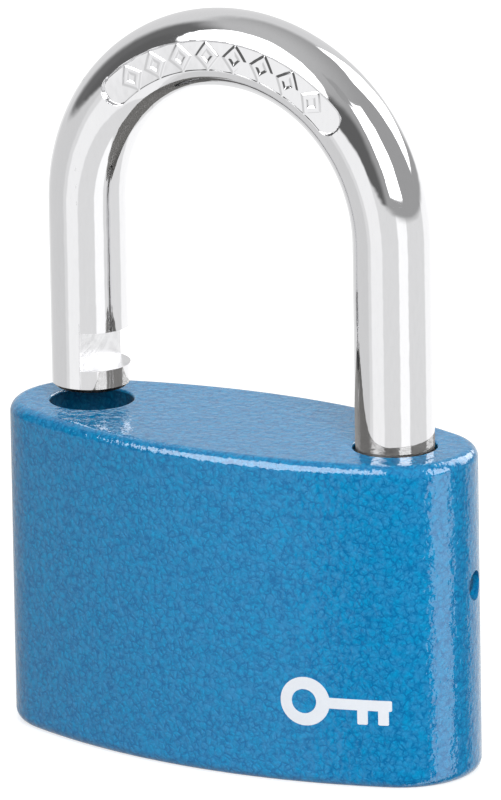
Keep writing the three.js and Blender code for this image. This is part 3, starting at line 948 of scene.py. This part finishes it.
def key_pins():
    for i, height, depth in zip(PIN_NUMBERS, PIN_HEIGHTS, CUT_DEPTHS):
        inner = KEY_PIN_INNER + depth
        profile = [(0, inner), (0.5, inner), (PIN_RADIUS, inner + 0.8), (PIN_RADIUS, KEY_PIN_OUTER - 0.4),
                   (0.8, KEY_PIN_OUTER), (0, KEY_PIN_OUTER)]
        mesh = smooth(to_mesh(placed(shifted(along_minus_x(turned(profile, 40)), z=height), STORED)))
        piece = add_piece(f"key_follower_{i}", mesh, BRASS, f"key_pin_{i}")
        soften_edges(piece, 0.06)


spring_button()
keeper_pin()
cross_pin()
driver_pins()
key_pins()


# ---- cylinder ----

def pin_hole_shapes(inner, outer):
    """The five pin holes, between two distances from the plug's axis."""
    hole = along_minus_x(rod(PIN_HOLE_RADIUS, inner, outer, 40))
    return [shifted(hole, z=height) for height in PIN_HEIGHTS]


def drum(radius, bottom, top, edge):
    """A round block with chamfered ends."""
    return turned([(0, bottom), (radius - edge, bottom), (radius, bottom + edge),
                   (radius, top - edge), (radius - edge, top), (0, top)], 96)


def cylinder_shell():
    bottom = SHELL_LOW.z
    top = SHELL_HIGH.z
    barrel = drum(SHELL_RADIUS, bottom, top, 0.25)
    outline = rounded_outline(SHELL_LOW.x, 0, -HOUSING_HALF_WIDTH, HOUSING_HALF_WIDTH, 0.8)
    housing = prism(outline, bottom, top)
    counterbore = turned([(0, -1), (COUNTERBORE_RADIUS + 1.3, -1), (COUNTERBORE_RADIUS, bottom + 0.15),
                          (COUNTERBORE_RADIUS, COUNTERBORE_TOP), (0, COUNTERBORE_TOP)], 96)
    cross_groove = CROSS_RADIUS + 0.2
    mesh = cut(
        joined(to_mesh(barrel), housing),
        rod(PLUG_BORE_RADIUS, -1, top + 1, 96),
        counterbore,
        block(SHELL_LOW.x - 1, COVER_HIGH.x + 0.2, -2, 2, 2.4, 21.7),
        shifted(along_y(rod(cross_groove, -BODY_DEPTH, BODY_DEPTH, 40)), CROSS_PIN_X, 0, CROSS_PIN_Z),
        *pin_hole_shapes(4.5, HOUSING_END),
    )
    add_piece("brass_shell", smooth(mesh), SHELL_BRASS, "cylinder_shell")


def plug():
    edge = 0.2
    head = PLUG_HEAD_RADIUS
    groove = PLUG_RADIUS - 0.8
    bottom = PLUG_LOW.z
    groove_low = CLIP_LOW.z - 0.1
    groove_high = CLIP_HIGH.z + 0.1
    barrel = turned([
        (0, bottom), (head - edge, bottom), (head, bottom + edge), (head, PLUG_HEAD_TOP),
        (PLUG_RADIUS, PLUG_HEAD_TOP), (PLUG_RADIUS, groove_low), (groove, groove_low),
        (groove, groove_high), (PLUG_RADIUS, groove_high), (PLUG_RADIUS, PLUG_BARREL_TOP - edge),
        (PLUG_RADIUS - edge, PLUG_BARREL_TOP), (0, PLUG_BARREL_TOP)], 96)
    tongue = block(-3.5, 3.5, -1, 1, PLUG_BARREL_TOP - 0.5, PLUG_HIGH.z)
    keyway = prism(KEYWAY_OUTLINE, bottom - 1, KEYWAY_TOP)
    mesh = cut(joined(to_mesh(barrel), tongue), keyway, *pin_hole_shapes(0.4, head))
    mesh.transform(STORED)
    add_piece("brass_plug", smooth(mesh), PLUG_BRASS, "plug")


def plug_clip():
    inner = PLUG_RADIUS - 0.6
    outer = PLUG_RADIUS + 1.2
    full = 2 * math.pi
    outline = [
        *arc(0, 0, outer, CLIP_OPENING, full - CLIP_OPENING, 64),
        (outer * math.cos(CLIP_OPENING), -outer * math.sin(CLIP_OPENING)),
        *arc(0, 0, inner, full - CLIP_OPENING, CLIP_OPENING, 64),
        (inner * math.cos(CLIP_OPENING), inner * math.sin(CLIP_OPENING)),
    ]
    mesh = to_mesh(placed(prism(outline, CLIP_LOW.z, CLIP_HIGH.z), STORED))
    piece = add_piece("plug_ring", smooth(mesh), SPRING_STEEL, "plug_clip")
    soften_edges(piece, 0.08)


def cam():
    radius = CAM_HIGH.x
    disc = drum(radius, CAM_LOW.z, CAM_TOP, 0.2)
    post = turned([(0, CAM_TOP - 0.5), (CAM_POST_RADIUS, CAM_TOP - 0.5),
                   (CAM_POST_RADIUS, CAM_HIGH.z - 0.15), (CAM_POST_RADIUS - 0.15, CAM_HIGH.z),
                   (0, CAM_HIGH.z)], 40)
    slot = block(-radius - 1, radius + 1, -1.2, 1.2, CAM_LOW.z - 1, CAM_LOW.z + 1.05)
    mesh = cut(joined(to_mesh(disc), shifted(post, -POST_OFFSET, POST_OFFSET)), slot)
    mesh.transform(STORED)
    add_piece("drive_cam", smooth(mesh), PLATE_STEEL, "cam")


def latch():
    bevel = 1.2
    head_half = 2.5
    tail_half = LATCH_HIGH.y
    slot_half = CAM_POST_RADIUS + 0.2
    slot_far = POST_OFFSET * math.sqrt(2) + CAM_POST_RADIUS + 0.3
    side = [(LATCH_LOW.x, LATCH_LOW.z), (-3, LATCH_LOW.z), (-3, LATCH_HIGH.z),
            (LATCH_LOW.x + bevel, LATCH_HIGH.z), (LATCH_LOW.x, LATCH_HIGH.z - bevel)]
    head = loft([[(x, y, z) for x, z in side] for y in (-head_half, head_half)])
    tail = prism(rounded_outline(-3.4, LATCH_HIGH.x, -tail_half, tail_half, 0.6), LATCH_LOW.z, LATCH_HIGH.z)
    slot = block(POST_OFFSET - slot_half, POST_OFFSET + slot_half, POST_OFFSET - slot_half, slot_far,
                 LATCH_LOW.z - 1, LATCH_HIGH.z + 1)
    piece = add_piece("latch_slider", smooth(cut(joined(to_mesh(tail), head), slot)), PLATE_STEEL,
                      "latch_bolt")
    soften_edges(piece, 0.1)


def chamber_cover():
    outline = rounded_outline(COVER_LOW.x, COVER_HIGH.x, COVER_LOW.y, COVER_HIGH.y, 0.15)
    mesh = smooth(to_mesh(prism(outline, COVER_LOW.z, COVER_HIGH.z)))
    soften_edges(add_piece("chamber_strip", mesh, SHELL_BRASS, "chamber_cover"), 0.05)


cylinder_shell()
plug()
plug_clip()
cam()
latch()
chamber_cover()


# ---- printed mark: a plain key, lying on its side ----

MARK_X = 16.2
MARK_Z = 8.7
INK_THICKNESS = 0.03


def printed_key():
    depth = -BODY_DEPTH

    def upright_prism(outline):
        return loft([[(x, y, z) for x, z in outline] for y in (depth, -1)])

    def disc(x, z, radius):
        return upright_prism(arc(x, z, radius, 0, 2 * math.pi, 48))

    def bar(x0, x1, z0, z1):
        return upright_prism(rounded_outline(x0, x1, z0, z1, 0.15, 4))

    bow_x = MARK_X - 3.3
    shape = joined(
        to_mesh(disc(bow_x, MARK_Z, 2.5)),
        bar(bow_x + 2, MARK_X + 5.2, MARK_Z - 0.55, MARK_Z + 0.55),
        bar(MARK_X + 1.9, MARK_X + 2.9, MARK_Z - 2.0, MARK_Z),
        bar(MARK_X + 3.9, MARK_X + 4.9, MARK_Z - 2.0, MARK_Z),
    )
    shape = cut(shape, disc(bow_x - 0.1, MARK_Z, 1.25))
    outer = prism(body_outline(-INK_THICKNESS), 1, BODY_HEIGHT - 1)
    inner = prism(body_outline(INK_THICKNESS), 0, BODY_HEIGHT)
    mesh = cut(combined(shape, [outer], "INTERSECT"), inner)
    mesh = set_normals(mesh, lambda point: body_side_normal(point.x, point.y))
    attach(add_object("printed_key_sign", mesh, INK), BODY_OF["lock_body"])


printed_key()


# ---- studio ----

VIEW_AZIMUTH = 32.19
VIEW_ELEVATION = 15.91
VIEW_ROLL = -0.963
LENS = 674.06
SENSOR = 36
VIEW_DISTANCE = 1487.72
VIEW_HEIGHT = 36
AIM_RIGHT = 0.839
AIM_DOWN = 0.543
FLOOR_GLOW = 0.72


def towards(azimuth, elevation, distance=1):
    """From the object to a place round it, by degrees: azimuth 0 is the front, 90 the right."""
    turn = math.radians(azimuth)
    rise = math.radians(elevation)
    side = math.cos(rise) * distance
    return (math.sin(turn) * side, -math.cos(turn) * side, math.sin(rise) * distance)


def camera():
    turn = math.radians(VIEW_AZIMUTH)
    roll = math.radians(VIEW_ROLL)
    back = Vector(towards(VIEW_AZIMUTH, VIEW_ELEVATION))
    right = Vector((math.cos(turn), math.sin(turn), 0))
    up = back.cross(right)
    rolled_right = right * math.cos(roll) + up * math.sin(roll)
    rolled_up = up * math.cos(roll) - right * math.sin(roll)
    middle = Vector((0, 0, VIEW_HEIGHT))
    place = middle + back * VIEW_DISTANCE
    aim = middle + rolled_right * AIM_RIGHT - rolled_up * AIM_DOWN
    behind = (place - aim).normalized()
    across = rolled_up.cross(behind).normalized()
    above = behind.cross(across)
    data = bpy.data.cameras.new("view")
    data.sensor_width = SENSOR
    data.lens = LENS
    data.clip_start = 0.1
    data.clip_end = 20
    item = bpy.data.objects.new("view", data)
    item.matrix_world = Matrix((
        (across.x, above.x, behind.x, place.x * MM),
        (across.y, above.y, behind.y, place.y * MM),
        (across.z, above.z, behind.z, place.z * MM),
        (0, 0, 0, 1),
    ))
    bpy.context.collection.objects.link(item)
    bpy.context.scene.camera = item


def floor():
    """A wide pale floor. Seen from below it isn't there."""
    radius = 6
    sides = 64
    mesh = bpy.data.meshes.new("floor")
    turns = [2 * math.pi * i / sides for i in range(sides)]
    ring = [(radius * math.cos(a), radius * math.sin(a), 0) for a in turns]
    mesh.from_pydata(ring, [], [tuple(range(sides))])
    item = bpy.data.objects.new("floor", mesh)
    bpy.context.collection.objects.link(item)
    n = Nodes("pale_floor")
    n.set(Base_Color=(0.5, 0.5, 0.5, 1), Roughness=0.9, Specular_IOR_Level=0.0, Emission_Color=(1, 1, 1, 1))
    seen = n.add("ShaderNodeLightPath").outputs["Is Camera Ray"]
    n.drive("Emission Strength", n.math("MULTIPLY", seen, FLOOR_GLOW))
    output = n.tree.nodes["Material Output"]
    side = n.add("ShaderNodeNewGeometry").outputs["Backfacing"]
    clear = n.add("ShaderNodeBsdfTransparent")
    choose = n.add("ShaderNodeMixShader")
    n.link(side, choose.inputs[0])
    n.link(n.shader.outputs[0], choose.inputs[1])
    n.link(clear.outputs[0], choose.inputs[2])
    n.link(choose.outputs[0], output.inputs["Surface"])
    mesh.materials.append(n.material)
    item.visible_glossy = False


class Sky(Graph):
    """The studio round the object, painted by direction."""

    def __init__(self):
        world = bpy.data.worlds.new("studio")
        bpy.context.scene.world = world
        world.use_nodes = True
        self.tree = world.node_tree
        self.background = self.tree.nodes["Background"]
        parts = self.add("ShaderNodeSeparateXYZ")
        self.direction = self.add("ShaderNodeTexCoord").outputs["Generated"]
        self.link(self.direction, parts.inputs[0])
        back = self.math("MULTIPLY", parts.outputs["Y"], -1.0)
        self.azimuth = self.degrees(self.math("ARCTAN2", parts.outputs["X"], back))
        self.elevation = self.degrees(self.math("ARCSINE", parts.outputs["Z"]))

    def degrees(self, angle):
        return self.math("MULTIPLY", angle, 180 / math.pi)

    def inside(self, distance, half, soft):
        return self.ramp(distance, half - soft / 2, half + soft / 2, 1, 0)

    def patch(self, level, azimuths, elevations, radiance, soft):
        """Paints a soft-edged patch over what is there."""
        turn = self.math("SUBTRACT", self.azimuth, sum(azimuths) / 2)
        height = self.math("SUBTRACT", self.elevation, sum(elevations) / 2)
        wrapped = self.math("WRAP", turn, 180.0, -180.0)
        shares = []
        for away, (first, last) in ((wrapped, azimuths), (height, elevations)):
            shares.append(self.inside(self.math("ABSOLUTE", away), (last - first) / 2, soft))
        return self.blend(level, self.math("MULTIPLY", *shares), radiance)

    def disc(self, level, azimuth, elevation, radius, radiance, soft):
        """Paints a round patch, as a round softbox shows."""
        dot = self.vector("DOT_PRODUCT", self.direction, towards(azimuth, elevation))
        away = self.degrees(self.math("ARCCOSINE", dot))
        return self.blend(level, self.inside(away, radius, soft), radiance)

    def blend(self, level, share, radiance):
        return self.math("MULTIPLY_ADD", share, self.math("SUBTRACT", radiance, level), level)


# What the chrome mirrors, later ones on top: azimuths, elevations, radiance and the softness of the edges
REFLECTED = [
    ((-186, -98), (-20, 52), 0.92, 16),  # pale wall, back left
    ((-92, -46), (-20, 52), 0.19, 16),  # dark wall, left
    ((-70, 30), (-20, 34), 0.16, 14),  # dark wall behind the front lamp
    ((-180, 180), (-100, -1), 1.02, 4),  # table
    ((-115, -44), (-100, 0), 0.88, 6),  # brighter and darker strips of it
    ((-34, 2), (-100, 3), 1.27, 5),
    ((50, 77), (-55, -2), 1.45, 4),
    ((137, 222), (-60, 0), 1.36, 6),
    ((44.5, 78.5), (7, 50), 4.5, 2.5),  # tall lamp, right
    ((34, 53), (45.5, 62), 0.47, 4),  # its corner is cut off
    ((136, 177), (12, 53), 4.5, 4),  # tall lamp, back right
]
CEILING_GLOW = (-45, 62, 40, 0.68, 50)  # azimuth, elevation, radius, radiance and softness
FRONT_LAMP = (-22, 38, 26, 4.5, 3)
CEILING = 0.47

# What only the paint's gloss mirrors, over the same things
PAINT_REFLECTED = [
    ((-160, -1), (-100, -2), 0.72, 8),  # table, left
    ((-2, 80), (-100, -2), 0.14, 12),  # table, front right
    ((114, 150), (-100, -2), 0.24, 12),  # table, back right
    ((78, 113), (-100, -2), 3.2, 3),  # bright strip beside the body's right end
    ((44.5, 82), (7, 56), 0.5, 4),  # no lamp where the chrome's right one stands
    ((80, 112), (7, 50), 10.0, 3),  # tall lamp, right
    ((143, 185), (12, 53), 7.5, 4),  # tall lamp, back right
]
PAINT_FRONT_LAMP = (-22, 38, 26, 10.0, 3)
AMBIENT = 0.37  # for the matt surfaces


def studio():
    """The chrome and the paint's gloss each see their own patches, and the camera sees white."""
    sky = Sky()
    chrome = sky.disc(CEILING, *CEILING_GLOW)
    for patch in REFLECTED:
        chrome = sky.patch(chrome, *patch)
    chrome = sky.disc(chrome, *FRONT_LAMP)
    paint = chrome
    for patch in PAINT_REFLECTED:
        paint = sky.patch(paint, *patch)
    paint = sky.disc(paint, *PAINT_FRONT_LAMP)
    path = sky.add("ShaderNodeLightPath")
    second_bounce = sky.math("GREATER_THAN", path.outputs["Ray Depth"], 2.5)  # gloss that chrome mirrors
    paint = sky.blend(paint, second_bounce, chrome)
    sharp = sky.blend(chrome, path.outputs["Is Singular Ray"], paint)
    lit = sky.blend(AMBIENT, path.outputs["Is Glossy Ray"], sharp)
    white = 1.0
    total = sky.blend(lit, path.outputs["Is Camera Ray"], white)
    sky.link(total, sky.background.inputs["Strength"])
    sky.background.inputs["Color"].default_value = (1, 1, 1, 1)


def lamp(name, azimuth, elevation, distance, size, energy):
    """A soft round lamp for the matt surfaces, placed in metres round the object."""
    data = bpy.data.lights.new(name, "AREA")
    data.shape = "DISK"
    data.size = size
    data.energy = energy
    item = bpy.data.objects.new(name, data)
    item.location = towards(azimuth, elevation, distance)
    item.rotation_euler = (Vector((0, 0, 0.03)) - item.location).to_track_quat("-Z", "Y").to_euler()
    item.visible_glossy = False
    bpy.context.collection.objects.link(item)


camera()
floor()
studio()
lamp("key", azimuth=42, elevation=31.5, distance=1.3, size=0.8, energy=13.7)
lamp("back_fill", azimuth=215, elevation=30, distance=1.4, size=0.8, energy=8)
bpy.context.scene.view_settings.view_transform = "Standard"
